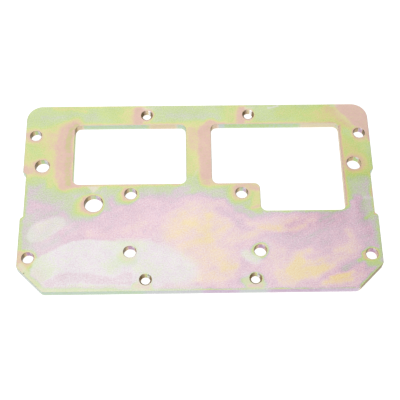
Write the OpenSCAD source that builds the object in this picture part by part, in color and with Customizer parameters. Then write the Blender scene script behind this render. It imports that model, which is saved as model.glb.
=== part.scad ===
/* [Plate] */
// Width of the plate, left to right
plate_w = 260; // [225:1:340]
// Depth of the plate, front edge to rear edge
plate_d = 154; // [140:1:220]
// Thickness of the steel
plate_t = 6; // [3:0.5:12]
// Radius of the two rear corners
rear_corner_r = 12; // [2:0.5:16]
// Legs of the 45 degree cuts at the two front corners
front_cut = 19; // [8:0.5:26]
// Radius where a front cut meets the front edge
front_cut_front_r = 5; // [1:0.5:8]
// Radius where a front cut meets the side edge
front_cut_side_r = 4.5; // [1:0.5:8]

/* [Side recesses] */
// How far each side edge steps in
recess_depth = 2.3; // [1.5:0.1:3]
// Length of a recess along the side edge, slanted ends included
recess_len = 39; // [15:0.5:50]
// Distance from the rear edge to a recess
recess_from_rear = 57.5; // [20:0.5:62]
// Radius of a recess's four corners
recess_corner_r = 1; // [0.2:0.1:1.8]

/* [Windows] */
// Width of the rail left of the left window
left_rail_w = 37.1; // [24:0.1:60]
// Width of the rail right of the right window
right_rail_w = 22.8; // [19:0.1:40]
// Width of the rail behind both windows
rear_rail_w = 17.4; // [11:0.1:26]
// Width of the web between the windows
web_w = 19.1; // [6:0.1:26]
// How far the web's centre line lies right of the plate's
web_shift = 0.35; // [-4:0.05:4]
// Depth of the left window, and of the right one behind its tab
window_d = 51.3; // [30:0.1:56]
// Width of the tab that fills the right window's front left corner
tab_w = 35.1; // [20:0.1:60]
// How far the right window reaches in front of the tab's rear edge
tab_d = 23.1; // [14:0.1:34]
// Radius of every window corner
window_corner_r = 4.5; // [1:0.5:6]

/* [Plain holes] */
// Diameter of the four corner holes
corner_hole_d = 8.5; // [4:0.5:11]
// Distance of the corner holes from the side edges
corner_hole_inset = 7.7; // [6.5:0.1:10]
// Distance of the rear corner holes from the rear edge
corner_hole_from_rear = 26.1; // [18:0.1:34]
// Distance of the front corner holes from the front edge
corner_hole_from_front = 26.5; // [22:0.1:36]
// Diameter of the two holes beside the windows
side_hole_d = 10.5; // [5:0.5:12]
// Wall between the right side hole and the right window
side_hole_wall = 3.65; // [1.5:0.05:6]
// Distance of the side holes from the rear edge
side_hole_from_rear = 52.65; // [42:0.05:66]
// Diameter of the inner and the lower holes
field_hole_d = 9; // [4:0.5:12]
// Distance of the inner holes in front of the windows' front edge
inner_hole_setback = 8.1; // [7:0.1:10]
// Distance of the left inner and lower holes from the plate's centre line
left_column_x = 50.1; // [34:0.1:62]
// Distance of the right inner hole from the tab's free side
tab_hole_inset = 13.6; // [8:0.1:20]
// Distance of the right lower hole from the plate's centre line
lower_right_x = 43; // [24:0.1:80]
// Distance of the lower holes from the front edge
lower_hole_from_front = 30.3; // [22:0.1:42]
// Diameter of the large hole
large_hole_d = 13.5; // [8:0.5:18]
// Distance of the large hole left of the left column
large_hole_dx = 27; // [20:0.5:34]
// Distance of the large hole in front of the windows' front edge
large_hole_setback = 16; // [12:0.1:22]

/* [Tapped holes] */
// Diameter of the bore that is tapped M8
tap_bore_d = 6.8; // [4.2:0.1:7]
// Diameter of the countersink at each end of a tapped hole
tap_mouth_d = 9; // [7.5:0.1:10]
// Distance between the two tapped holes of a row
tap_spacing = 77.5; // [50:0.5:120]

/* [Hidden] */
$fn = 96;
through = 1;
zinc_yellow = [0.87, 0.85, 0.66];

right_x = plate_w / 2;
rear_y = plate_d / 2;
front_y = -plate_d / 2;
recess_rear_y = rear_y - recess_from_rear;
recess_front_y = recess_rear_y - recess_len;

window_rear_y = rear_y - rear_rail_w;
window_front_y = window_rear_y - window_d;
left_window_x = left_rail_w - right_x;
right_window_x = right_x - right_rail_w;
web_left_x = web_shift - web_w / 2;
web_right_x = web_shift + web_w / 2;
tab_side_x = web_right_x + tab_w;
tab_front_y = window_front_y - tab_d;

corner_hole_x = right_x - corner_hole_inset;
side_hole_x = right_window_x + side_hole_wall + side_hole_d / 2;
inner_hole_y = window_front_y - inner_hole_setback;
lower_hole_y = front_y + lower_hole_from_front;

// The tapped holes run along the middle of the rear rail, and the front pair
// stands in from the front edge by as much.
tap_y = rear_y - rear_rail_w / 2;
tap_x = tap_spacing / 2;
tap_mouth_depth = (tap_mouth_d - tap_bore_d) / 2;

// A loop is a list of corners [x, y, radius], counted anticlockwise.
right_edge = [
    [right_x - front_cut, front_y, front_cut_front_r],
    [right_x, front_y + front_cut, front_cut_side_r],
    [right_x, recess_front_y, recess_corner_r],
    [right_x - recess_depth, recess_front_y + recess_depth, recess_corner_r],
    [right_x - recess_depth, recess_rear_y - recess_depth, recess_corner_r],
    [right_x, recess_rear_y, recess_corner_r],
    [right_x, rear_y, rear_corner_r],
];
outline_loop = concat(right_edge, mirrored(right_edge));

left_window_loop = [
    [left_window_x, window_front_y, window_corner_r],
    [web_left_x, window_front_y, window_corner_r],
    [web_left_x, window_rear_y, window_corner_r],
    [left_window_x, window_rear_y, window_corner_r],
];

right_window_loop = [
    [tab_side_x, tab_front_y, window_corner_r],
    [right_window_x, tab_front_y, window_corner_r],
    [right_window_x, window_rear_y, window_corner_r],
    [web_right_x, window_rear_y, window_corner_r],
    [web_right_x, window_front_y, window_corner_r],
    [tab_side_x, window_front_y, window_corner_r],
];

// Each plain hole is [x, y, diameter].
corner_holes = [
    for (side = [-1, 1], y = [rear_y - corner_hole_from_rear, front_y + corner_hole_from_front])
        [side * corner_hole_x, y, corner_hole_d]
];
side_holes = [
    for (side = [-1, 1])
        [side * side_hole_x, rear_y - side_hole_from_rear, side_hole_d]
];
field_holes = [
    [-left_column_x, inner_hole_y, field_hole_d],
    [tab_side_x - tab_hole_inset, inner_hole_y, field_hole_d],
    [-left_column_x, lower_hole_y, field_hole_d],
    [lower_right_x, lower_hole_y, field_hole_d],
];
large_hole = [-left_column_x - large_hole_dx, window_front_y - large_hole_setback, large_hole_d];
plain_holes = concat(corner_holes, side_holes, field_holes, [large_hole]);

// The same corners on the other side of the centre line, in the order that
// keeps the loop anticlockwise
function mirrored(loop) = [
    for (i = [len(loop) - 1:-1:0])
        [-loop[i][0], loop[i][1], loop[i][2]]
];

// Corner i without its radius, counted on past the loop's end
function place(loop, i) =
    let (c = loop[(i + len(loop)) % len(loop)])
    [c[0], c[1]];

// Unit vector from a to b
function toward(a, b) = (b - a) / norm(b - a);

// Half of the angle between the two edges that meet at corner i
function half_angle(loop, i) =
    let (here = place(loop, i))
    acos(toward(here, place(loop, i - 1)) * toward(here, place(loop, i + 1))) / 2;

// The two points where the arc at corner i touches its edges
function tangent_points(loop, i) =
    let (
        here = place(loop, i),
        reach = loop[i][2] / tan(half_angle(loop, i))
    )
    [
        here + reach * toward(here, place(loop, i - 1)),
        here + reach * toward(here, place(loop, i + 1)),
    ];

// Centre of the arc at corner i, on the line that halves its angle
function arc_centre(loop, i) =
    let (
        here = place(loop, i),
        halfway = toward(here, place(loop, i - 1)) + toward(here, place(loop, i + 1))
    )
    here + halfway / norm(halfway) * loop[i][2] / sin(half_angle(loop, i));

// True where the loop turns left, so that the corner points outward
function is_outward(loop, i) =
    cross(
        toward(place(loop, i - 1), place(loop, i)),
        toward(place(loop, i), place(loop, i + 1))
    ) > 0;

// Area inside a loop with true arcs at its corners: the polygon through the
// tangent points, with a disc added at each outward corner and one taken away
// at each inward corner
module rounded(loop) {
    last = len(loop) - 1;
    difference() {
        union() {
            polygon([for (i = [0:last]) each tangent_points(loop, i)]);
            for (i = [0:last]) {
                if (is_outward(loop, i)) translate(arc_centre(loop, i)) circle(r = loop[i][2]);
            }
        }
        for (i = [0:last]) {
            if (!is_outward(loop, i)) translate(arc_centre(loop, i)) circle(r = loop[i][2]);
        }
    }
}

// The plate seen from above, with everything cut right through it
module plan() {
    difference() {
        rounded(outline_loop);
        rounded(left_window_loop);
        rounded(right_window_loop);
        for (hole = plain_holes) translate([hole[0], hole[1]]) circle(d = hole[2]);
    }
}

// Bore of one tapped hole with a countersink at both faces. The cones start
// past the faces, so that their mouths come out at full diameter.
module tapped_hole() {
    translate([0, 0, -through]) cylinder(d = tap_bore_d, h = plate_t + 2 * through);
    for (face = [0, 1]) {
        translate([0, 0, face * plate_t]) mirror([0, 0, face])
            translate([0, 0, -through])
                cylinder(
                    d1 = tap_mouth_d + 2 * through,
                    d2 = tap_bore_d,
                    h = through + tap_mouth_depth
                );
    }
}

// The whole part: one flat plate
module plate() {
    color(zinc_yellow) difference() {
        linear_extrude(height = plate_t) plan();
        for (x = [-tap_x, tap_x], y = [-tap_y, tap_y]) translate([x, y, 0]) tapped_hole();
    }
}

plate();
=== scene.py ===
"""Looks of the barrier plate: one flat steel plate with an iridescent yellow passivated finish.

The plate is worked out again with numpy at the CAD model's own sizes, with broken edges, a cut
thread in each tapped hole, and a passivation film whose thickness varies over the steel. The
film's colour follows its thickness: salmon where it is thickest, beside the windows and round
the holes, then peach, yellow, green, grey, lilac and pink to cream where it is thinnest.
Lengths in the tables are millimetres, and the meshes are in metres. Over the film lie painted
shade, in the bores, the threads, the windows' corners and towards the right, and painted
highlights, along the edges and in the bores.
"""

import logging
import math
from dataclasses import dataclass, field
from enum import Enum

import bpy
import numpy as np
from mathutils import Euler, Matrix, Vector
from mathutils.geometry import delaunay_2d_cdt


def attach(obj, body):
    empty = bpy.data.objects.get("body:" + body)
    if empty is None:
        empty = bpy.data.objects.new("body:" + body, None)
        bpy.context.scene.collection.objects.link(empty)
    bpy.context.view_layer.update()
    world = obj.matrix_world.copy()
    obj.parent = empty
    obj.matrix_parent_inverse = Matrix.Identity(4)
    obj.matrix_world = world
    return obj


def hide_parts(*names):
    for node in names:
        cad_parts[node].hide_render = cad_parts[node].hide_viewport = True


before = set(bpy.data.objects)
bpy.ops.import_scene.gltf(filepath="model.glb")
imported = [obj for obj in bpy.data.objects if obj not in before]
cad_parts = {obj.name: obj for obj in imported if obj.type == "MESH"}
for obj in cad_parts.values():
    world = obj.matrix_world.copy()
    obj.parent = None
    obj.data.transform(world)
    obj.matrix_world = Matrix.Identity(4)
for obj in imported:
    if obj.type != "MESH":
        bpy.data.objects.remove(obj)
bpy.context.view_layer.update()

LOG = logging.getLogger("barrier_plate")
MM = 0.001

# Points round each hole, and the distance from any hole's centre that takes in only its own wall
HOLE_POINTS = 72
HOLE_REACH = 7.6

# Width of the fine rows beside every edge
EDGE_STRIP = 0.9

# Behind this line in y lie the rear walls and the rear edges of the windows
WINDOW_REAR_Y = 59.0

# Seed of the small shifts of the faces' lattice points
LATTICE_SEED = 11

Array = np.ndarray
Colour = tuple[float, float, float, float]
Point = tuple[float, float]
Corner = tuple[float, float, float]
Stops = tuple[tuple[float, float, float, float], ...]


class Face(Enum):
    """The plate's two flat faces."""

    TOP = "top"
    UNDER = "under"


def rise(value: Array, start: Array | float, width: float) -> Array:
    """Ramp from 0 at the start to 1 a width further, eased as 3 t squared minus 2 t cubed."""
    t = np.clip((value - start) / width, 0.0, 1.0)
    return t * t * (3.0 - 2.0 * t)


def drift_noise(x: Array, y: Array, size: float, seed: int) -> Array:
    """Soft noise in -1..1: random heights on a square lattice, eased from one to the next.

    Args:
        x: Places from left to right, in mm.
        y: Places from front to rear, in mm.
        size: Distance between two lattice points, in mm.
        seed: Number that fixes the random heights.

    Returns:
        One height for each place.
    """
    count = 256
    offset = (97.0, 61.0)
    heights = np.random.default_rng(seed).uniform(-1.0, 1.0, (count, count))
    u = x / size + offset[0]
    v = y / size + offset[1]
    column = np.floor(u).astype(int)
    row = np.floor(v).astype(int)
    along = rise(u, column, 1.0)
    across = rise(v, row, 1.0)
    sides = []
    for step in (0, 1):
        near = heights[(column + step) % count, row % count]
        far = heights[(column + step) % count, (row + 1) % count]
        sides.append(near * (1.0 - across) + far * across)
    return sides[0] * (1.0 - along) + sides[1] * along


def path_distance(x: Array, y: Array, path: tuple[Point, ...]) -> Array:
    """Distance to a path of straight stretches, the least over its stretches.

    Args:
        x: Places from left to right, in mm.
        y: Places from front to rear, in mm.
        path: Two or more points, in mm.

    Returns:
        One distance for each place, in mm.
    """
    nearest = np.full(x.shape, np.inf)
    for (ax, ay), (bx, by) in zip(path[:-1], path[1:]):
        run = np.array([bx - ax, by - ay])
        length_squared = max(float(run @ run), 1e-12)
        share = np.clip(((x - ax) * run[0] + (y - ay) * run[1]) / length_squared, 0.0, 1.0)
        away = np.hypot(x - ax - share * run[0], y - ay - share * run[1])
        nearest = np.minimum(nearest, away)
    return nearest


def is_enclosed(x: Array, y: Array, corners: Array) -> Array:
    """True inside a closed polygon: a ray to the right crosses its sides an odd number of times.

    Args:
        x: Places from left to right, in mm.
        y: Places from front to rear, in mm.
        corners: The polygon's corners in order, in mm.

    Returns:
        One truth value for each place.
    """
    enclosed = np.zeros(x.shape, bool)
    for (ax, ay), (bx, by) in zip(corners, np.roll(corners, -1, axis=0)):
        if ay == by:
            continue
        crossed = (ay > y) != (by > y)
        enclosed ^= crossed & (x < ax + (y - ay) * (bx - ax) / (by - ay))
    return enclosed


@dataclass(frozen=True)
class Wash:
    """A stroke of film laid along a path, fading out at its sides.

    Attributes:
        tone: Film tone it brings, 0 thickest to 11 thinnest.
        reach: Half width of the stroke, in mm.
        soft: Width of its fading side, in mm.
        path: Points it follows, in mm.
        strength: How much of the film below it replaces, 0 to 1.
    """

    tone: float
    reach: float
    soft: float
    path: tuple[Point, ...]
    strength: float = 1.0

    def over(self, below: Array, x: Array, y: Array) -> Array:
        """Blend the stroke over the film below by its eased distance from the path."""
        spread = self.reach + 0.5 * self.soft - path_distance(x, y, self.path)
        return below + (self.tone - below) * self.strength * rise(spread, 0.0, self.soft)


@dataclass(frozen=True)
class Pool:
    """An area of film that dried with a clear edge.

    Attributes:
        tone: Film tone it brings.
        soft: Width of its edge, in mm.
        corners: Its outline, in mm.
        strength: How much of the film below it replaces, 0 to 1.
    """

    tone: float
    soft: float
    corners: tuple[Point, ...]
    strength: float = 1.0

    def over(self, below: Array, x: Array, y: Array) -> Array:
        """Blend the pool over the film below by its eased distance from the outline.

        Args:
            below: Film before the pool.
            x: Places from left to right, in mm.
            y: Places from front to rear, in mm.

        Returns:
            One tone for each place.
        """
        distance = path_distance(x, y, self.corners + self.corners[:1])
        inward = np.where(is_enclosed(x, y, np.array(self.corners)), distance, -distance)
        cover = rise(inward, -0.5 * self.soft, self.soft)
        return below + (self.tone - below) * self.strength * cover


Mark = Wash | Pool


def strokes(*rows: tuple[object, ...]) -> tuple[Wash, ...]:
    """Washes of full strength from rows of tone, reach and soft, and then the path's points."""
    return tuple(Wash(*row[:3], row[3:]) for row in rows)


def lay(start: Array | float, marks: tuple[Mark, ...], x: Array, y: Array) -> Array:
    """Lay marks over a start, one after another.

    Args:
        start: Values before the first mark.
        marks: Strokes and pools in the order they are laid.
        x: Places from left to right, in mm.
        y: Places from front to rear, in mm.

    Returns:
        One value for each place.
    """
    film = np.zeros(x.shape) + start
    for mark in marks:
        film = mark.over(film, x, y)
    return film


def bore_painted_shade(facing: Array, far_right_shade: float) -> Array:
    """Painted shade of a bore's wall: mid then deep on its left, and again at its far right.

    Args:
        facing: Sideways part of the wall's outward direction, -1 to 1.
        far_right_shade: Painted shade at the far right.

    Returns:
        0 for bright film, 0.5 for mid shade, 1 for deep shade.
    """
    left = 0.45 * rise(facing, 0.16, 0.25) + 0.5 * rise(facing, 0.52, 0.3)
    return left + far_right_shade * rise(-facing, 0.66, 0.18)


def bore_gleam(facing: Array, width: float) -> Array:
    """Painted highlight on the right of a bore's rear wall, 0 to 1, as wide as told."""
    return rise(width - np.abs(facing + 0.52), 0.0, 0.12)


@dataclass(frozen=True)
class HoleFilm:
    """Film round one hole and on its wall, and the painted shade on that wall.

    Attributes:
        tone: Film tone at the rim.
        slope: Tones passed in each mm outward, as the film thins through all its colours.
        lean: Share by which the slope drops on the wide side and grows on the narrow one.
        towards: Direction of the wide side, in degrees from +X.
        rear_tint: Tint of the rear wall, 0 violet to 1 green.
        right_tint: Tint that it turns to on the right.
        least_shade: Least painted shade of the left wall and the rear wall.
        far_right_shade: Painted shade at the far right.
    """

    tone: float
    slope: float
    lean: float
    towards: float
    rear_tint: float = 0.0
    right_tint: float = 0.0
    least_shade: float = 0.0
    far_right_shade: float = 0.0

    def over(self, below: Array, hole: Corner, x: Array, y: Array) -> Array:
        """Keep the thicker of the film below and the film round the hole.

        The latter's tone is the one at the rim, plus the distance from the rim times the slope,
        where the slope is cut by the lean times the cosine of the angle to the wide side.

        Args:
            below: Film before this one.
            hole: Hole's x, y and radius, in mm.
            x: Places from left to right, in mm.
            y: Places from front to rear, in mm.

        Returns:
            One tone for each place.
        """
        away = np.maximum(np.hypot(x - hole[0], y - hole[1]) - hole[2], 0.0)
        angle = np.arctan2(y - hole[1], x - hole[0]) - math.radians(self.towards)
        slope = self.slope * (1.0 - self.lean * np.cos(angle))
        return np.minimum(below, self.tone + slope * away)


def arc_corner(before: Array, here: Array, after: Array, radius: float) -> tuple[Array, float, float]:
    """Centre, start angle and sweep of the arc that rounds one corner.

    Args:
        before: Corner before this one, in mm.
        here: This corner, in mm.
        after: Corner after this one, in mm.
        radius: Arc's radius, in mm.

    Returns:
        The arc's centre in mm, and its start angle and signed sweep in radians.
    """
    back = (before - here) / np.linalg.norm(before - here)
    ahead = (after - here) / np.linalg.norm(after - here)
    half = math.acos(float(np.clip(back @ ahead, -1.0, 1.0))) / 2.0
    halfway = (back + ahead) / np.linalg.norm(back + ahead)
    centre = here + halfway * radius / math.sin(half)
    first = here + back * radius / math.tan(half) - centre
    last = here + ahead * radius / math.tan(half) - centre
    start = math.atan2(first[1], first[0])
    sweep = (math.atan2(last[1], last[0]) - start + math.pi) % (2.0 * math.pi) - math.pi
    return centre, start, sweep


def on_circle(angles: Array) -> Array:
    """Unit vectors at angles in radians."""
    return np.column_stack([np.cos(angles), np.sin(angles)])


@dataclass(frozen=True)
class Rim:
    """A closed edge of the steel seen from above, walked with the steel on its left.

    Attributes:
        points: Places along the edge, in mm.
        away: Unit vectors at those places, pointing out of the steel.
    """

    points: Array
    away: Array


def rounded_rim(corners: tuple[Corner, ...], is_window: bool, step: float, chord: float) -> Rim:
    """Edge of straight sides and rounded corners.

    Each corner gives the points centre plus radius times (cos, sin) of evenly spaced angles, and
    each side is divided evenly.

    Args:
        corners: Corners as x, y and radius, counted anticlockwise, in mm.
        is_window: True where the steel lies outside the loop.
        step: Length of the divisions of the straight sides, in mm.
        chord: Length of the divisions of the arcs, in mm.

    Returns:
        The edge with its outward directions.
    """
    places = np.array([corner[:2] for corner in corners])
    radii = [corner[2] for corner in corners]
    arcs = [
        arc_corner(places[index - 1], place, places[(index + 1) % len(places)], radii[index])
        for index, place in enumerate(places)
    ]
    points = []
    away = []
    for index, (centre, start, sweep) in enumerate(arcs):
        count = max(4, math.ceil(radii[index] * abs(sweep) / chord) + 1)
        ring = on_circle(start + sweep * np.linspace(0.0, 1.0, count))
        points.append(centre + radii[index] * ring)
        away.append(ring * math.copysign(1.0, sweep))
        following = (index + 1) % len(arcs)
        next_centre, next_start, _ = arcs[following]
        target = next_centre + radii[following] * on_circle(np.array([next_start]))[0]
        last = points[-1][-1]
        side = target - last
        length = float(np.linalg.norm(side))
        divisions = math.ceil(length / step)
        share = np.arange(1, divisions)[:, None] / divisions
        points.append(last + share * side)
        normal = np.array([side[1], -side[0]]) / length
        away.append(np.broadcast_to(normal, (len(share), 2)))
    all_points = np.vstack(points)
    all_away = np.vstack(away)
    if is_window:
        return Rim(all_points[::-1], -all_away[::-1])
    return Rim(all_points, all_away)


def round_rim(hole: Corner) -> Rim:
    """Edge of a round hole, walked clockwise, with its directions towards the hole's centre."""
    ring = on_circle(-2.0 * math.pi * np.arange(HOLE_POINTS) / HOLE_POINTS)
    return Rim(np.array(hole[:2]) + hole[2] * ring, -ring)


def mirrored(loop: tuple[Corner, ...]) -> tuple[Corner, ...]:
    """The same corners on the other side of the centre line, still anticlockwise."""
    return tuple((-x, y, radius) for x, y, radius in reversed(loop))


@dataclass(frozen=True)
class PlatePlan:
    """Sizes of the plate seen from above, in mm, as the CAD model has them.

    A loop is a list of corners as x, y and radius, and a hole is its x, y and radius.
    """

    thickness: float = 6.0
    right_edge: tuple[Corner, ...] = (
        (111.0, -77.0, 5.0),
        (130.0, -58.0, 4.5),
        (130.0, -19.5, 1.0),
        (127.7, -17.2, 1.0),
        (127.7, 17.2, 1.0),
        (130.0, 19.5, 1.0),
        (130.0, 77.0, 12.0),
    )
    left_window: tuple[Corner, ...] = (
        (-92.9, 8.3, 4.5),
        (-9.2, 8.3, 4.5),
        (-9.2, 59.6, 4.5),
        (-92.9, 59.6, 4.5),
    )
    right_window: tuple[Corner, ...] = (
        (45.0, -14.8, 4.5),
        (107.2, -14.8, 4.5),
        (107.2, 59.6, 4.5),
        (9.9, 59.6, 4.5),
        (9.9, 8.3, 4.5),
        (45.0, 8.3, 4.5),
    )
    plain_holes: tuple[Corner, ...] = (
        (-122.3, 50.9, 4.25),
        (122.3, 50.9, 4.25),
        (-122.3, -50.5, 4.25),
        (122.3, -50.5, 4.25),
        (-116.1, 24.35, 5.25),
        (116.1, 24.35, 5.25),
        (-50.1, 0.2, 4.5),
        (31.4, 0.2, 4.5),
        (-50.1, -46.7, 4.5),
        (43.0, -46.7, 4.5),
        (-77.1, -7.7, 6.75),
    )
    tap_mouths: tuple[Corner, ...] = tuple(
        (x, y, 4.5) for y in (68.3, -68.3) for x in (-38.75, 38.75)
    )
    tap_bore_radius: float = 3.4

    def loops(self) -> tuple[tuple[Corner, ...], ...]:
        """Corners of the outline and of the two windows."""
        return (self.right_edge + mirrored(self.right_edge), self.left_window, self.right_window)

    def sheet_rims(self) -> list[Rim]:
        """Round off the outline and the windows.

        Returns:
            The outline's edge and the two windows' edges.
        """
        outline, *windows = self.loops()
        rims = [rounded_rim(outline, is_window=False, step=1.1, chord=0.7)]
        return rims + [rounded_rim(loop, is_window=True, step=1.1, chord=0.6) for loop in windows]

    def coarse_paths(self) -> list[tuple[Point, ...]]:
        """The loops as closed paths with few points, for measuring distances.

        Returns:
            One path for the outline and one for each window.
        """
        paths = []
        for loop in self.loops():
            points = rounded_rim(loop, is_window=False, step=1000.0, chord=1.2).points
            paths.append(tuple(map(tuple, np.vstack([points, points[:1]]))))
        return paths


@dataclass(frozen=True)
class FilmCoat:
    """The passivation film on the plate, as marks in the order they are laid.

    Tones run from -1, olive, over 0, salmon, to 11, yellow cream, as the film thins. The tables
    of holes follow the order of the plan's holes, and the underside has one film round its plain
    holes and one round its tapped holes.
    """

    under_hole: HoleFilm = HoleFilm(0.4, 1.5, 0.4, 20.0)
    under_tap: HoleFilm = HoleFilm(0.8, 1.8, 0.4, 20.0)
    centre: tuple[Mark, ...] = strokes(
        (9.4, 20, 16, (-6, -30), (0, -44), (6, -60)), (9.2, 9, 10, (-5, -18), (12, -20)),
        (9.9, 6, 8, (-9, -23), (-3, -26)), (10.9, 3, 6, (-9, -25), (-2, -26)),
        (10.7, 3, 6, (7, -19), (6, -25)), (10.8, 3, 6, (5, -31), (7, -37), (0, -39)),
        (10.1, 4, 8, (-21, -34), (-10, -30)), (10.2, 4, 8, (8, -46), (16, -56), (22, -60)),
        (10.8, 2, 4, (16, -61.5), (26, -58)), (10, 3, 6, (14, -30), (24, -26)),
        (7.2, 3, 6, (14, -14), (24, -20), (32, -30)), (9.6, 3, 6, (22, -38), (40, -33)),
        (9.9, 3.4, 6, (38, -23), (46, -26), (56, -28)),
        (7.5, 3.4, 6, (29.5, -46), (33, -54), (29, -70), (16, -74.5)), (8.2, 3, 5, (-30, -74), (14, -74)),
    )
    right_field: tuple[Mark, ...] = (
        *strokes(
            (7.2, 14, 10, (64, -34), (84, -32), (112, -26)), (7.2, 3, 4, (46, -19), (86, -19.5)),
            (8.5, 4, 8, (56, -24), (82, -22)), (9.1, 2, 4, (60, -31), (76, -28)),
            (10.1, 3, 5, (47, -28.5), (58, -29.5)), (7, 3, 5, (55, -36), (66, -37), (52, -41)),
            (8.4, 7, 10, (54, -46), (56, -58)), (9.5, 3, 6, (68, -50), (78, -48)),
            (11.6, 4, 5, (64, -64), (70, -56)), (11.2, 3, 5, (58, -69), (74, -66)),
            (9.6, 4, 6, (56, -66), (62, -71)), (11.2, 2.5, 5, (71, -62), (79, -61)),
            (11.6, 3.1, 4, (80, -65), (93, -58)), (10.2, 2, 4, (76, -58), (92, -54)),
            (11.8, 2.2, 4, (93, -69), (108, -65.5)), (10.4, 1.6, 3, (86, -72.5), (106, -70)),
            (7.8, 1.4, 3, (76, -73), (84, -70), (92, -65), (99, -62)), (9.7, 3, 6, (98, -48), (108, -46)),
            (9, 3, 6, (107, -33), (111, -44)), (8.8, 4, 8, (92, -56), (102, -52)),
            (7.5, 2.4, 5, (100, -60), (108, -57)), (6, 2, 4, (102, -62), (110, -57), (116, -55)),
            (8.6, 2.4, 4, (108, -67), (117, -60)), (6.3, 2, 4, (118, -62), (124, -58)),
        ),
        Wash(5.2, 1.2, 3, ((88, -24), (91, -21.5), (94, -20)), 0.8),
        *strokes(
            (6.9, 2, 5, (84, -33), (98, -25), (110, -20)), (7, 4, 6, (119, -26), (120, -42)),
            (5.9, 1.8, 3, (126.5, -26), (126.5, -42)), (5.9, 2, 5, (112, -27), (124, -21)),
            (7.2, 4, 6, (110, -18), (112, -24)),
        ),
    )
    left_field: tuple[Mark, ...] = (
        *strokes(
            (7.3, 9, 10, (-112, -44), (-95, -31), (-75, -22), (-50, -12), (-20, -4)),
            (6, 8, 8, (-121, 12), (-121, -4)), (4.5, 4, 6, (-70, 1), (-60, 3)),
            (7.4, 4, 7, (-120, -8), (-106, -13)), (6, 4, 7, (-122, -20), (-104, -14)),
            (5.4, 4, 7, (-118, 0), (-106, -5), (-98, -10)), (4.9, 3.5, 6, (-114, 6), (-102, -1)),
            (4.8, 5, 7, (-104, 1), (-94, -4), (-92, -14)), (7.9, 3, 6, (-98, -20), (-94, -27)),
            (5.2, 2.4, 5, (-92, -19), (-78, -19)), (5.6, 5, 7, (-125, -20), (-122, -42)),
            (6.3, 3, 6, (-116, -38), (-100, -18), (-96, -22)),
        ),
        Wash(6.2, 1.6, 3.5, ((-112, -43), (-98, -34), (-86, -25)), 0.9),
        Wash(6.6, 1.4, 4, ((-92, -38), (-80, -34), (-66, -27)), 0.5),
        *strokes((8.2, 3, 8, (-80, -33), (-60, -33), (-40, -30))),
        Wash(7.5, 2.4, 6, ((-60, -22), (-36, -14), (-14, -10)), 0.7),
        *strokes((5.4, 0.4, 1.2, (-40.8, -31.6), (-39, -29.2))),
    )
    rear_rail: tuple[Mark, ...] = strokes(
        (3.8, 14, 4, (-132, 71.5), (132, 71.5)), (4.8, 1.8, 4, (-118, 67), (-102, 67)),
        (4.5, 3, 6, (-96, 66.5), (-78, 66.5)), (2.1, 1.5, 3, (-110, 75.6), (-94, 74), (-86, 72)),
        (2.5, 0.9, 2.4, (-90, 75.4), (-72, 75.8)), (3.2, 5, 7, (-70, 71), (-60, 68)),
        (4.8, 3, 7, (-22, 67), (14, 67)), (4.1, 2, 4, (-18, 73), (14, 74)),
        (2.2, 6, 8, (-52, 71), (-52, 63)), (0, 4.6, 5, (-44.5, 73), (-45, 63)),
        (2.6, 7, 8, (27, 72), (27, 63)), (0, 4, 4.5, (34, 72), (33, 62)),
        (4.2, 4.5, 2, (-31, 74), (-31, 64)), (2.9, 6, 9, (66, 70), (80, 67)),
        (2.1, 7, 12, (92, 67), (106, 66)),
    )
    left_rail: tuple[Mark, ...] = (
        Pool(2.2, 5, (
            (-134, 58), (-120, 58), (-108, 60), (-100, 63), (-90, 61), (-104, 7), (-113, 10), (-134, 19),
        )),
        *strokes(
            (2.7, 5, 7, (-126, 44), (-122, 35)), (1.6, 3, 5, (-118, 54), (-108, 50)),
            (1.2, 3, 6, (-110, 50), (-110, 40)), (3.1, 3, 4, (-126.5, 41), (-119, 36)),
            (0.3, 3.2, 3.5, (-131, 51.5), (-128, 51)), (0.3, 3.4, 4, (-131, 22), (-124, 20.5)),
            (4.2, 3, 4, (-126, 14), (-116, 12.5)), (2.5, 3, 4, (-109.5, 20), (-109, 8)),
            (4, 3, 5, (-106, 3.4), (-86, 3.2)),
            (1.1, 6.4, 6, (-98.5, 9), (-101, 20), (-102.5, 35), (-102, 47), (-99, 54.5), (-93, 60)),
            (0.15, 4.2, 4, (-99, 8), (-101.5, 20), (-102.5, 35), (-102.5, 46), (-101, 53.5), (-95, 59)),
            (0.1, 2.4, 3, (-101, 7.6), (-88, 7.6)),
            (-0.85, 2.3, 2.2, (-96.9, 9), (-97, 50), (-95, 56), (-92, 58.8)),
            (-0.9, 1.2, 2.4, (-98.5, 48), (-97, 55), (-92.5, 59.6)),
            (-0.4, 1.6, 3, (-97.5, 34), (-97.5, 18)), (0.1, 0.7, 1, (-94.5, 12), (-94.5, 56)),
            (1.8, 0.3, 1, (-93.2, 12), (-93.2, 56)),
        ),
    )
    web: tuple[Mark, ...] = strokes(
        (2.3, 6, 4, (-6, 56), (-6, 18)), (2.3, 4, 5, (-8, 58), (0, 60)), (4.1, 6, 6, (-7, 10), (-5, 6)),
        (4.7, 2.4, 4, (-3, 4), (4, 5)), (5.9, 3, 4, (-17, 2.5), (-9, 4)), (5.3, 3, 5, (12, -1), (20, -3)),
        (0.9, 4, 5, (-5, 54), (-4, 40)), (0.8, 6.5, 5, (6.5, 12), (5, 52), (10, 58)),
        (0, 5, 4, (6.5, 17), (5, 52), (9.5, 57)), (0.3, 1.8, 3, (8, 60.5), (20, 60.5)),
    )
    tab: tuple[Mark, ...] = strokes(
        (4.5, 4, 5, (28, -7), (34, -9), (42, -13)), (2.2, 3.4, 3, (42, 4), (42, -11)),
        (0.5, 2.8, 3, (38, 5), (42, 4)), (5.5, 2.4, 5, (28, -14), (38, -17.5)),
        (3.4, 1.2, 3, (34, -12), (44, -15.4)), (0.7, 1.2, 2.5, (39, -12.4), (44, -11)),
    )
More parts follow.
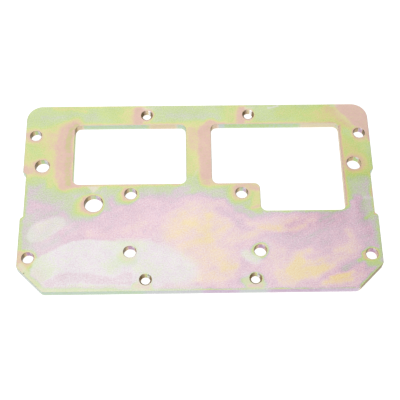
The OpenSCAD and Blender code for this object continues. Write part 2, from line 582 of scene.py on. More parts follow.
    right_rail: tuple[Mark, ...] = (
        Pool(2.8, 5, ((106, 62), (118, 58), (122, 47), (134, 42), (134, 12), (106, 12))),
        Wash(3.7, 3, 4, ((110.5, 52), (118, 47)), 0.9),
        *strokes(
            (2.1, 3, 5, (112, 40), (118, 35)), (3, 6, 5, (118, 17), (118, 13)),
            (3.6, 2, 3, (128.5, 42), (128.5, 22)), (5.3, 5, 9, (120, 8), (121, -14)),
            (5.4, 2.6, 4, (114, 4), (123, 3)), (7.2, 2, 4, (116, -5), (114, -15)),
            (4.9, 3, 5, (113.5, 7), (113.5, 0)), (3.5, 1.6, 4, (110.6, 10), (111, -5)),
            (3.9, 1.8, 5, (125, -17), (126, -21)), (3, 0.8, 2.4, (120, -22), (124, -19)),
            (4.2, 1.5, 3, (126.5, 10), (126.5, -12)), (0.4, 1.1, 1.2, (127.8, 10), (127.8, -18)),
            (2.8, 1.6, 3, (109, 4), (108.6, -12)), (6.1, 0.9, 2, (88, -17.4), (102, -17.4)),
            (1.6, 1.5, 2, (108, 57), (108, -10)), (0.1, 1, 1.2, (107.6, 57), (107.6, -10)),
            (1.3, 4, 6, (100, 73), (106, 70), (110, 64), (116, 58)),
        ),
        Pool(0.1, 1.6, (
            (105, 80), (106.5, 75), (109, 70), (113, 65.5), (117, 60.5), (120, 56), (125, 54.5),
            (128, 47), (129, 43), (134, 43), (134, 80),
        )),
    )
    holes: tuple[HoleFilm, ...] = (
        HoleFilm(-0.2, 0.8, 0.5, 190, 1, 0.5, 0, 0.85),
        HoleFilm(0.3, 0.9, 0.5, -55, 0.3, 0.15, 0.55, 0.9),
        HoleFilm(0, 1.2, 0.7, 215, 0.05, 0.1, 0, 0.5),
        HoleFilm(1.2, 1.9, 0.4, 250, 0.05, 0.1, 0, 0.3),
        HoleFilm(0.1, 0.75, 0.6, 215, 1, 0.6, 0, 0.7),
        HoleFilm(0, 0.55, 0.2, 30, 1, 0.95, 0.5, 0.5),
        HoleFilm(0, 1.6, 0.58, 200, 0.95, 0.25, 0, 0.85),
        HoleFilm(0, 0.8, 0.25, 150, 0.9, 0.2, 0, 0.8),
        HoleFilm(0.8, 1.1, 0.5, 220, 0.05, 0.1, 0, 0.6),
        HoleFilm(0.8, 2.3, 0.3, 215, 0.05, 0.1, 0, 0.55),
        HoleFilm(0, 1.7, 0.74, 200, 0.95, 0.15, 0.1, 0.9),
    )
    taps: tuple[HoleFilm, ...] = (
        HoleFilm(0, 1.7, 0.5, 200),
        HoleFilm(0, 1.7, 0.5, 200),
        HoleFilm(1.2, 2.9, 0.62, 250),
        HoleFilm(1.2, 2.9, 0.72, 235),
    )
    touches: tuple[Mark, ...] = (
        *strokes(
            (0.25, 1.4, 2.2, (-54.6, 4.5), (-56.4, 0.5), (-54.8, -4)),
            (0.25, 1.3, 2, (26.4, 4.2), (29.5, 6.4), (34, 6.6)),
            (0.25, 1.3, 2, (-83.6, -2.5), (-85.6, -8), (-83.8, -12.8), (-79.5, -15.5)),
            (3.9, 2.5, 3, (-122, 12.5), (-117, 12)), (5.3, 2.5, 5, (-68, -3), (-67, -12)),
            (4.2, 1.4, 2.4, (129, -24), (129, -52)), (3.4, 1.2, 3, (118, -53), (113, -56)),
            (0.6, 1.4, 2.4, (116.6, -50), (117.6, -53.4)), (3.6, 2.2, 4, (120, -58), (126, -58)),
            (1.4, 2.4, 4, (-46, -73), (-36, -74)), (2.6, 2.4, 4, (31, -70), (43, -73)),
            (0.4, 1.3, 2, (-40.5, -73.5), (-38, -75)), (0.4, 1.5, 2, (33.5, -74), (42, -74.2)),
            (0.5, 2.2, 2.6, (-129, -46), (-128, -55), (-125, -60)),
            (3.7, 2.2, 2.6, (-129.4, -24), (-129.4, -42)), (1.8, 1.8, 4, (-126.5, -56), (-121, -62)),
            (2.6, 1.8, 2.4, (-123.5, -61.5), (-112.5, -73.5)), (2.5, 1.4, 2, (-111, -75.5), (-60, -76)),
            (3.7, 1.2, 1.6, (112.5, -75), (128.5, -59.5)), (2.6, 1, 1.6, (-100, 76.6), (-40, 76.6)),
            (4.8, 1.6, 3, (-42, 4), (-20, 4.5)),
        ),
        Pool(1.2, 0.8, ((-81.5, 7.2), (-73, 7.2), (-76, 2), (-78, 1)), 0.8),
        Pool(5.4, 1.6, ((-71, 6.6), (-66, 7.2), (-70, 1), (-72, 2)), 0.6),
    )
    walls: tuple[Mark, ...] = strokes(
        (0.6, 3, 6, (-36, -77), (55, -77)), (0.25, 3, 6, (4, -77), (24, -77)),
        (0.4, 3, 6, (58, -77), (108, -77)), (0.2, 3, 6, (50, -77), (82, -77)),
        (0.25, 3, 6, (88, -77), (108, -77)), (0.7, 3, 4, (114, -74), (129, -59)),
        (0.7, 3, 4, (-114, -74), (-129, -59)), (1, 2, 3, (-92.9, 12), (-92.9, 52)),
        (0.86, 2, 3, (-86, 59.6), (-40, 59.6)), (0.92, 2, 3, (-37, 59.6), (-19, 59.6)),
        (0.68, 2, 3, (15, 59.6), (19, 59.6)), (0.93, 2, 3, (22, 59.6), (60, 59.6)),
        (0.9, 2, 3, (64, 59.6), (104, 59.6)),
    )
    # Painted shade on the sheet's walls: beside the windows' rear left corners, along parts of their rear
    # walls, on the right window's right wall and at the front right corner.
    wall_painted_shade: tuple[Mark, ...] = strokes(
        (0.72, 1.8, 2.4, (-92.9, 54), (-92.3, 57.4)), (0.36, 1.5, 1.8, (-90.6, 59), (-88.6, 59.6)),
        (0.72, 1.8, 2.4, (9.9, 54), (10.5, 57.4)), (0.36, 1.5, 1.8, (12.2, 59), (14.2, 59.6)),
        (0.26, 2, 5, (80, 59.6), (104, 59.6)), (0.3, 2, 4, (-35, 59.6), (-18, 59.6)),
        (0.36, 1.5, 2, (107.2, 56), (107.2, -12)), (0.75, 3, 4, (114, -74), (129, -59)),
    )
    bleach: tuple[Mark, ...] = (
        *strokes((0.3, 5, 6, (-118, -44), (-104, -39)), (0.25, 4, 8, (-96, -22), (-92, -28))),
        Pool(0.88, 1.4, (
            (-118, -53), (-117, -51), (-110, -47), (-100, -42), (-90, -38), (-80, -36.5), (-60, -38),
            (-36, -37.5), (-26, -44), (-26, -75), (-110, -75), (-119.5, -63),
        )),
        Wash(0.3, 4, 9, ((-30, -36), (-27, -46), (-26, -54)), 0.8),
        Wash(0.6, 2, 4, ((-58, -38), (-36, -38)), 0.7),
        Pool(0.85, 10, ((-46, -41), (-26, -42), (-15, -47), (-3, -56), (-2, -67), (-8, -73), (-46, -73))),
        *strokes(
            (0.42, 2, 2, (-32, -75.5), (0, -75)), (0.35, 2.4, 3, (-114, -75), (-50, -76)),
            (0.66, 4, 6, (-116, -63), (-112, -68)), (0.4, 2.2, 2, (-127, -57), (-112, -73.5)),
            (0.6, 2, 2, (-111, -75), (-30, -75.5)),
        ),
        Pool(0.64, 2.6, (
            (-125, -33), (-121, -25), (-114, -20.5), (-104, -17.8), (-97.5, -19), (-96.5, -25),
            (-103, -32), (-112, -38), (-121, -38),
        )),
        *strokes((0.6, 4.4, 5, (-54, -50.5), (-50, -53))),
        Pool(0.55, 0.8, ((-81.5, 7.2), (-73, 7.2), (-76, 2), (-78, 1))),
        *strokes(
            (0.3, 0.6, 3, (-47, -41), (-45, -44)), (0.48, 2.4, 4, (-46, -72), (-36, -73)),
            (0.38, 3, 4, (32, -66), (33, -73), (44, -74)), (0.35, 1.2, 2, (-41, 74), (-35, 74)),
            (0.35, 1.2, 2, (37, 74), (43, 74)), (0.75, 3.2, 4, (32, -49), (35, -53), (40, -54)),
            (0.3, 2, 5, (46, -40), (50, -44)), (0.7, 0.8, 1, (54, 74.4), (62, 75.8)),
            (0.5, 0.6, 1, (103, 75.6), (108, 75.6)), (0.45, 0.8, 2, (120, -5), (127, -5)),
            (0.3, 0.6, 2, (-4, 13), (0, 20)),
        ),
    )
    tint: tuple[Mark, ...] = (
        *strokes(
            (0.8, 5, 8, (-44, -57), (-32, -63)), (1, 8, 12, (-116, -54), (-110, -63)),
            (0.9, 4, 8, (-64, -39), (-42, -40)), (0.9, 5, 9, (-64, -59), (-54, -50)),
            (0.9, 3, 5, (-110, -74), (-50, -75)), (0.95, 1.6, 2.4, (-38, -76), (4, -75.6)),
        ),
        Pool(0.1, 1.5, (
            (-110, -70), (-106, -66), (-99, -63), (-85, -62.3), (-74, -63.5), (-62, -67), (-54, -62.5),
            (-48, -62), (-48, -72), (-58, -72), (-68, -72), (-84, -70.5), (-108, -73),
        )),
        *strokes((0.78, 8, 6, (-118, -33), (-102, -22)), (0.9, 4, 4, (32, -50), (38, -53))),
    )
    deep_spots: tuple[Mark, ...] = strokes(
        (1.4, 7, 10, (66, -28), (84, -22), (100, -20)), (1.35, 5, 6, (112, 14), (122, 14)),
        (1.25, 4, 5, (112, 3), (122, 3)), (1.06, 4, 5, (125, 47), (127, 38)),
        (1.15, 3, 5, (46, -29), (60, -30)), (1.05, 3, 4, (112, 52.5), (116, 50)),
        (1.45, 3, 6, (116, -6), (118, -20), (122, -34)), (1.35, 6, 8, (94, -68), (116, -63)),
        (0.98, 10, 6, (116, 72), (126, 62)),
    )
    under: tuple[Mark, ...] = strokes(
        (9.2, 16, 18, (-60, -52), (-10, -40), (40, -30)), (10.4, 5, 9, (-40, -56), (-14, -48)),
        (10.2, 4, 8, (22, -30), (50, -26)), (6.2, 9, 12, (80, -60), (104, -40), (118, -8)),
        (5, 7, 9, (-118, -20), (-104, -2)), (4.3, 9, 5, (-132, 70), (132, 70)),
        (2.8, 6, 12, (-96, 68), (-60, 70)), (2.4, 8, 12, (60, 66), (96, 70)),
        (2.3, 14, 6, (-118, 52), (-118, 24)), (2.6, 10, 6, (118, 52), (118, 14)),
        (0.6, 3, 4, (-96, 10), (-96, 56)), (0.5, 3, 4, (104, 52), (108, -8)),
        (1.6, 6, 5, (0, 12), (0, 56)),
    )

    def wander(self, x: Array, y: Array) -> tuple[Array, Array]:
        """Places shifted by soft noise of two sizes, so that no mark has a drawn edge.

        Args:
            x: Places from left to right, in mm.
            y: Places from front to rear, in mm.

        Returns:
            The shifted places, from left to right and from front to rear, in mm.
        """
        sway = 0.7
        shiver = 0.35
        broad = 8.0
        narrow = 2.6
        along = x + sway * drift_noise(x, y, broad, 1) + shiver * drift_noise(x, y, narrow, 2)
        across = y + sway * drift_noise(x, y, broad, 3) + shiver * drift_noise(x, y, narrow, 4)
        return along, across

    def streaks(self, x: Array, y: Array) -> Array:
        """Drift noise drawn out to five times its width along the run of the bath, with blotches.

        Args:
            x: Places from left to right, in mm.
            y: Places from front to rear, in mm.

        Returns:
            Tones to add at each place.
        """
        turn = math.radians(27.0)
        along = x * math.cos(turn) + y * math.sin(turn)
        across = y * math.cos(turn) - x * math.sin(turn)
        broad = drift_noise(along * 0.2, across, 2.4, 7)
        narrow = drift_noise(along * 0.25, across, 0.9, 8)
        blotch = drift_noise(x, y, 3.0, 9)
        return 0.42 * broad + 0.22 * narrow + 0.3 * blotch

    def rims(self, plan: PlatePlan, x: Array, y: Array, below: Array) -> Array:
        """Thin the film away from the outline and the windows.

        The film can't be thinner than a rim that grows with distance. Beside the left window and
        the tab it grows slowly, by 2.3 times the logarithm to base 2 of one plus half the
        distance, and a quarter more of each mm beyond 12. Beside the right window and along the
        outline it grows fast, and fastest along the front edge and its right half.

        Args:
            plan: Sizes of the plate.
            x: Places from left to right, in mm.
            y: Places from front to rear, in mm.
            below: Film before the rims.

        Returns:
            One tone for each place.
        """
        outline, left, right = plan.coarse_paths()
        tab_side = ((9.9, 59.6), (9.9, 8.3), (45.0, 8.3), (45.0, -9.0))
        slow = np.minimum(path_distance(x, y, left), path_distance(x, y, tab_side))
        far = np.maximum(slow - 12.0, 0.0)
        film = np.minimum(below, 0.3 + 2.3 * np.log2(1.0 + slow / 2.0) + 0.25 * far)
        film = np.minimum(film, 3.0 + 1.5 * path_distance(x, y, right))
        slope = 1.35 + (0.6 + 1.4 * rise(x, -40.0, 40.0)) * rise(-y, 56.0, 8.0)
        start = 2.2 + 1.9 * rise(x, 60.0, 40.0) * rise(-y, -20.0, 20.0)
        return np.minimum(film, start + slope * path_distance(x, y, outline))

    def top_film(self, plan: PlatePlan, x: Array, y: Array) -> Array:
        """Film tone on the top face: field, rims, rails, thin lines behind the windows, holes.

        Args:
            plan: Sizes of the plate.
            x: Places from left to right, in mm.
            y: Places from front to rear, in mm.

        Returns:
            One tone for each place.
        """
        along, across = self.wander(x, y)
        film = lay(8.0, self.centre + self.right_field + self.left_field, along, across)
        film = self.rims(plan, along, across, film)
        rails = self.rear_rail + self.left_rail + self.web + self.tab + self.right_rail
        film = lay(film, rails, along, across)
        for path in plan.coarse_paths()[1:]:
            line = 0.3 + 1.2 * path_distance(x, y, path)
            film = np.minimum(film, np.where(y > WINDOW_REAR_Y, line, film))
        for hole, around in zip(plan.plain_holes + plan.tap_mouths, self.holes + self.taps):
            film = around.over(film, hole, along, across)
        film = lay(film, self.touches, along, across)
        return film + self.streaks(x, y) * rise(film, 3.5, 3.0)

    def under_film(self, plan: PlatePlan, x: Array, y: Array) -> Array:
        """Film tone on the underside, which ran another way, with narrower films round the holes.

        Args:
            plan: Sizes of the plate.
            x: Places from left to right, in mm.
            y: Places from front to rear, in mm.

        Returns:
            One tone for each place.
        """
        along, across = self.wander(x + 40.0, y + 25.0)
        along = along - 40.0
        across = across - 25.0
        film = lay(7.6, self.under, along, across)
        film = self.rims(plan, along, across, film)
        for hole in plan.plain_holes:
            film = self.under_hole.over(film, hole, along, across)
        for mouth in plan.tap_mouths:
            film = self.under_tap.over(film, mouth, along, across)
        return film + self.streaks(-x, y) * rise(film, 3.5, 3.0)

    def depth(self, x: Array, y: Array) -> Array:
        """How deep and dark the film's colour is: 1, growing to 1.2 towards the right as painted shade,
        and more in spots.
        """
        along, across = self.wander(x, y)
        return lay(1.0 + 0.2 * rise(x, 50.0, 60.0), self.deep_spots, along, across)

    def bore_walls(self, plan: PlatePlan, x: Array, y: Array, facing: Array) -> tuple[Array, ...]:
        """Tint, painted shade and share of the walls of the plain holes.

        The wall on a hole's left gets painted shade, the one on its far right too, and the one between
        shows the film, which turns from the hole's own tint to violet towards the right.

        Args:
            plan: Sizes of the plate.
            x: Places from left to right, in mm.
            y: Places from front to rear, in mm.
            facing: Sideways part of the wall's outward direction at each place.

        Returns:
            Tint, painted shade, and 1 at the places that belong to a plain hole.
        """
        tint = np.zeros(x.shape)
        painted_shade = np.zeros(x.shape)
        inside = np.zeros(x.shape)
        rightward = rise(-facing, 0.12, 0.3)
        leftward = rise(facing, -0.12, 0.15)
        for hole, film in zip(plan.plain_holes, self.holes):
            near = np.hypot(x - hole[0], y - hole[1]) < HOLE_REACH
            tint[near] = (film.rear_tint + (film.right_tint - film.rear_tint) * rightward)[near]
            painted_shade[near] = np.maximum(bore_painted_shade(facing, film.far_right_shade), film.least_shade * leftward)[near]
            inside[near] = 1.0
        return tint, painted_shade, inside


@dataclass(frozen=True)
class EdgeProfile:
    """Section of a plate edge from the top face down to the underside.

    Attributes:
        thickness: Plate's thickness, in mm.
        radius: Radius that breaks the sharp edge, in mm.
        strips: Distances from the edge of extra rows on each face, in mm.
        wall_rows: Divisions of the straight wall.
    """

    thickness: float
    radius: float = 0.35
    strips: tuple[float, ...] = (EDGE_STRIP, 0.6)
    wall_rows: int = 6

    def rows(self) -> tuple[Array, Array, Array, Array]:
        """Rows of the section from top to bottom: extra rows, rounded edge, straight wall and back.

        The rounded edge is a quarter circle: its inset is the radius times one minus the sine of
        the turn, and its drop the radius times one minus the cosine.

        Returns:
            Inset, height, outward share and upward share of the normal for each row.
        """
        turn = np.radians([0.0, 30.0, 60.0, 90.0])
        none = np.zeros(len(self.strips))
        inset = np.concatenate([self.strips, self.radius * (1.0 - np.sin(turn))])
        drop = np.concatenate([none, self.radius * (1.0 - np.cos(turn))])
        outward = np.concatenate([none, np.sin(turn)])
        upward = np.concatenate([none + 1.0, np.cos(turn)])
        middle = np.linspace(self.radius, self.thickness - self.radius, self.wall_rows + 1)[1:-1]
        flat = np.zeros(len(middle))
        return (
            np.concatenate([inset, flat, inset[::-1]]),
            np.concatenate([self.thickness - drop, middle[::-1], drop[::-1]]),
            np.concatenate([outward, flat + 1.0, outward[::-1]]),
            np.concatenate([upward, flat, -upward[::-1]]),
        )


@dataclass
class PlateBody:
    """Builds the plate's mesh: edges carried round every loop, threads, and both flat faces.

    Attributes:
        plan: Sizes of the plate.
        points: Blocks of points, in mm.
        normals: Their normals.
        wall_share: 0 on the faces to 1 on the walls, for each point.
        triangles: Blocks of triangles.
        count: Number of points so far.
        rings: Boundary rings of each face, outline first.
    """

    plan: PlatePlan
    points: list[Array] = field(default_factory=list)
    normals: list[Array] = field(default_factory=list)
    wall_share: list[Array] = field(default_factory=list)
    triangles: list[Array] = field(default_factory=list)
    count: int = 0
    rings: dict[Face, list[Array]] = field(default_factory=lambda: {face: [] for face in Face})

    def _add_points(self, points: Array, normals: Array, wall_share: Array) -> Array:
        """Add a block of points.

        Args:
            points: Points, in mm.
            normals: Their normals.
            wall_share: 0 on the faces to 1 on the walls, for each point.

        Returns:
            Their numbers in the whole mesh.
        """
        numbers = np.arange(self.count, self.count + len(points))
        self.points.append(points)
        self.normals.append(normals)
        self.wall_share.append(wall_share)
        self.count += len(points)
        return numbers

    def _add_grid(self, points: Array, normals: Array, share: Array) -> None:
        """Add a closed band, two triangles a cell, between a ring of each face's boundary.

        Args:
            points: Rows of points from the top face down, in mm.
            normals: Their normals.
            share: 0 on the faces to 1 on the walls, for each point.
        """
        flat = (points.reshape(-1, 3), normals.reshape(-1, 3), share.reshape(-1))
        grid = self._add_points(*flat).reshape(points.shape[:2])
        above = grid[:-1]
        below = grid[1:]
        above_next = np.roll(above, -1, axis=1)
        below_next = np.roll(below, -1, axis=1)
        for cell in ([above, below, below_next], [above, below_next, above_next]):
            self.triangles.append(np.stack(cell, axis=-1).reshape(-1, 3))
        self.rings[Face.TOP].append(grid[0])
        self.rings[Face.UNDER].append(grid[-1])

    def add_rim(self, rim: Rim, profile: EdgeProfile) -> None:
        """Carry an edge profile round a rim.

        A point is the rim's place moved by the profile's inset against the outward direction, at
        the profile's height.

        Args:
            rim: Edge seen from above.
            profile: Section of the edge.
        """
        inset, height, outward, upward = profile.rows()
        flat = rim.points[None] - rim.away[None] * inset[:, None, None]
        level = np.broadcast_to(height[:, None, None], flat.shape[:2] + (1,))
        lift = np.broadcast_to(upward[:, None, None], flat.shape[:2] + (1,))
        sideways = rim.away[None] * outward[:, None, None]
        share = np.broadcast_to(outward[:, None], flat.shape[:2])
        points = np.concatenate([flat, level], axis=-1)
        self._add_grid(points, np.concatenate([sideways, lift], axis=-1), share)

    def add_thread(self, hole: Corner) -> None:
        """Cut a countersunk M8 thread.

        The radius is the greatest of the bore, the two 45 degree countersinks and the thread: bore
        plus depth times a ramp up and down once a pitch, turned by the angle.

        Args:
            hole: Countersink's x, y and radius, in mm.
        """
        x, y, mouth = hole
        bore = self.plan.tap_bore_radius
        thickness = self.plan.thickness
        pitch = 1.25
        depth = 0.6
        crest = 0.12
        rows = 59
        angles = -2.0 * math.pi * np.arange(HOLE_POINTS) / HOLE_POINTS
        ring = on_circle(angles)
        height = np.linspace(thickness - 0.1, 0.1, rows)
        turn = (height[:, None] / pitch - angles[None] / (2.0 * math.pi)) % 1.0
        tooth = 1.0 - np.abs(2.0 * turn - 1.0)
        ramp = np.clip((tooth - crest) / (1.0 - 2.0 * crest), 0.0, 1.0)
        cone = np.maximum(mouth - (thickness - height), mouth - height)[:, None]
        radius = np.maximum(bore + depth * ramp, cone)
        level = np.broadcast_to(height[:, None], radius.shape)
        wall = np.dstack([x + radius * ring[:, 0], y + radius * ring[:, 1], level])
        run = np.roll(wall, -1, axis=1) - np.roll(wall, 1, axis=1)
        normals = np.cross(np.gradient(wall, axis=0), run)
        normals /= np.linalg.norm(normals, axis=-1, keepdims=True)
        lips = []
        for spread in (EDGE_STRIP, 0.5, 0.12):
            circle = np.array([x, y]) + (mouth + spread) * ring
            lips.append(np.column_stack([circle, np.full(len(circle), thickness)]))
        top = np.stack(lips)
        under = top[::-1] * (1.0, 1.0, 0.0)
        up = np.zeros(top.shape)
        up[..., 2] = 1.0
        flat = np.zeros(top.shape[:2])
        self._add_grid(
            np.concatenate([top, wall, under]),
            np.concatenate([up, normals, -up]),
            np.concatenate([flat, np.ones(radius.shape), flat]),
        )

    def add_face(self, face: Face, spacing: float, clearance: float) -> None:
        """Fill one flat face between its boundary rings.

        Points on a lattice of triangles, shifted a little, are kept where they lie in the steel,
        and all are joined by a Delaunay triangulation that holds the rings' sides.

        Args:
            face: Which face.
            spacing: Distance between lattice points, in mm.
            clearance: Least distance of a lattice point from every ring, in mm.
        """
        is_top = face is Face.TOP
        placed = np.vstack(self.points)[:, :2]
        ring_numbers = np.concatenate(self.rings[face])
        rings = [placed[ring] for ring in self.rings[face]]
        sides = []
        start = 0
        for ring in rings:
            numbers = start + np.arange(len(ring))
            sides.append(np.column_stack([numbers, np.roll(numbers, -1)]))
            start += len(ring)
        inner = self._lattice(rings, spacing, clearance)
        every = np.vstack(rings + [inner])
        places = [Vector(place) for place in every.tolist()]
        result = delaunay_2d_cdt(places, np.vstack(sides).tolist(), [], 0, 1e-6)
        origin = np.array([sources[0] for sources in result[3]])
        corners = origin[np.array(result[2])]
        doubtful = (corners < len(ring_numbers)).all(axis=1)
        keep = np.ones(len(corners), bool)
        keep[doubtful] = self._in_steel(every[corners[doubtful]].mean(axis=1), rings)
        corners = corners[keep]
        points = np.column_stack([inner, np.full(len(inner), self.plan.thickness * is_top)])
        normals = np.zeros(points.shape)
        normals[:, 2] = 1.0 if is_top else -1.0
        inner_numbers = self._add_points(points, normals, np.zeros(len(points)))
        numbers = np.concatenate([ring_numbers, inner_numbers])[corners]
        spans = every[corners]
        first = spans[:, 1] - spans[:, 0]
        second = spans[:, 2] - spans[:, 0]
        is_clockwise = first[:, 0] * second[:, 1] < first[:, 1] * second[:, 0]
        is_inward = is_clockwise == is_top
        numbers[is_inward] = numbers[is_inward][:, ::-1]
        self.triangles.append(numbers)

    def _in_steel(self, places: Array, rings: list[Array]) -> Array:
        """Tell the places in the steel.

        Args:
            places: Places seen from above, in mm.
            rings: The outline's ring and then every other ring.

        Returns:
            True for places inside the outline's ring and outside every other ring.
        """
        x, y = places.T
        kept = is_enclosed(x, y, rings[0])
        for ring in rings[1:]:
            kept &= ~is_enclosed(x, y, ring)
        return kept

    def _lattice(self, rings: list[Array], spacing: float, clearance: float) -> Array:
        """Lattice points in the steel that keep clear of every ring.

        Args:
            rings: The face's boundary rings, outline first.
            spacing: Distance between lattice points, in mm.
            clearance: Least distance of a lattice point from every ring, in mm.

        Returns:
            Places of the points, in mm.
        """
        half_width = 131.0
        half_depth = 78.0
        columns = np.arange(-half_width, half_width, spacing)
        rows = np.arange(-half_depth, half_depth, spacing * math.sqrt(0.75))
        x, y = np.meshgrid(columns, rows)
        x = x + 0.5 * spacing * (np.arange(len(rows)) % 2)[:, None]
        jitter = 0.08
        places = np.column_stack([x.ravel(), y.ravel()])
        rng = np.random.default_rng(LATTICE_SEED)
        places += rng.uniform(-jitter, jitter, places.shape) * spacing
        x, y = places.T
        gap = EDGE_STRIP + clearance
        kept = self._in_steel(places, rings[:3])
        for path in self.plan.coarse_paths():
            kept &= path_distance(x, y, path) > gap
        for hole_x, hole_y, radius in self.plan.plain_holes + self.plan.tap_mouths:
            kept &= np.hypot(x - hole_x, y - hole_y) > radius + gap
        return places[kept]

    def build(self) -> tuple[Array, Array, Array, Array]:
        """Build the edges, the threads and then both faces.

        Returns:
            Points in mm, normals, triangles and wall share of the whole plate.
        """
        for rim in self.plan.sheet_rims():
            self.add_rim(rim, EdgeProfile(self.plan.thickness))
        for hole in self.plan.plain_holes:
            self.add_rim(round_rim(hole), EdgeProfile(self.plan.thickness, radius=0.4))
        for mouth in self.plan.tap_mouths:
            self.add_thread(mouth)
        self.add_face(Face.TOP, spacing=1.1, clearance=0.5)
        self.add_face(Face.UNDER, spacing=2.2, clearance=0.9)
        blocks = (self.points, self.normals, self.triangles, self.wall_share)
        return tuple(np.concatenate(block) for block in blocks)


def screen_colour(*channels: float) -> Colour:
    """A screen colour as a linear colour, by the sRGB curve.

    Args:
        *channels: Red, green and blue, 0 to 255.

    Returns:
        Linear red, green and blue, and full alpha.
    """
    values = [channel / 255.0 for channel in channels]
    light = [
        value / 12.92 if value <= 0.04045 else ((value + 0.055) / 1.055) ** 2.4 for value in values
    ]
    return (*light, 1.0)


class NodeTree:
    """A shader node tree that is wired by short calls."""

    def __init__(self, tree: bpy.types.NodeTree) -> None:
        """Keep the tree and empty it."""
        self.tree = tree
        tree.nodes.clear()

    @classmethod
    def group(cls, name: str, inputs: dict[str, float], outputs: dict[str, str]) -> "NodeTree":
        """A new node group.

        Args:
            name: Group's name.
            inputs: Names of its number inputs, with their defaults.
            outputs: Names of its outputs, with their kinds of socket.

        Returns:
            The group's tree, ready to wire.
        """
        tree = bpy.data.node_groups.new(name, "ShaderNodeTree")
        for label, default in inputs.items():
            socket = tree.interface.new_socket(label, in_out="INPUT", socket_type="NodeSocketFloat")
            socket.default_value = default
        for label, kind in outputs.items():
            tree.interface.new_socket(label, in_out="OUTPUT", socket_type=kind)
        return cls(tree)

    def node(
        self, kind: str, feeds: dict[str | int, object] | None = None, **settings: object
    ) -> bpy.types.Node:
        """Add a node.

        Args:
            kind: Blender's name of the node type.
            feeds: Its inputs, each with an output to link or a plain value to set.
            **settings: Properties of the node, which are set first.

        Returns:
            The new node.
        """
        made = self.tree.nodes.new(kind)
        for name, value in settings.items():
            setattr(made, name, value)
        for name, value in (feeds or {}).items():
            if isinstance(value, bpy.types.NodeSocket):
                self.tree.links.new(value, made.inputs[name])
            else:
                made.inputs[name].default_value = value
        return made

    def math(self, operation: str, *values: object) -> bpy.types.NodeSocket:
        """A Math node on sockets or numbers."""
        feeds = dict(enumerate(values))
        return self.node("ShaderNodeMath", feeds, operation=operation).outputs[0]

    def blend(self, share: object, first: object, second: object) -> bpy.types.NodeSocket:
        """A Mix node on two colours."""
        feeds = {0: share, 6: first, 7: second}
        return self.node("ShaderNodeMix", feeds, data_type="RGBA").outputs[2]

    def ramp(
        self, share: object, stops: list[tuple[float, Colour]], interpolation: str = "LINEAR"
    ) -> bpy.types.NodeSocket:
        """A Color Ramp.

        Args:
            share: Socket or number that picks the colour.
            stops: Positions in 0..1, each with a linear colour, in rising order.
            interpolation: Blender's name of the way from one stop to the next.

        Returns:
            The ramp's colour.
        """
        made = self.node("ShaderNodeValToRGB", {"Fac": share})
        made.color_ramp.interpolation = interpolation
        elements = made.color_ramp.elements
        elements.remove(elements[1])
        for index, (position, colour) in enumerate(stops):
            stop = elements[0] if index == 0 else elements.new(position)
            stop.position = position
            stop.color = colour
        return made.outputs["Color"]

    def noise(self, vector: object, scale: float, detail: float) -> bpy.types.NodeSocket:
        """A Noise Texture's factor."""
        feeds = {"Vector": vector, "Scale": scale, "Detail": detail}
        return self.node("ShaderNodeTexNoise", feeds).outputs["Fac"]

    def swing(self, vector: object, scale: float, detail: float) -> bpy.types.NodeSocket:
        """A Noise Texture's factor, moved to swing round 0."""
        return self.math("SUBTRACT", self.noise(vector, scale, detail), 0.5)


def new_material(name: str) -> tuple[bpy.types.Material, NodeTree]:
    """Start a material.

    Args:
        name: Material's name.

    Returns:
        The material and its emptied node tree.
    """
    made = bpy.data.materials.new(name)
    made.use_nodes = True
    return made, NodeTree(made.node_tree)


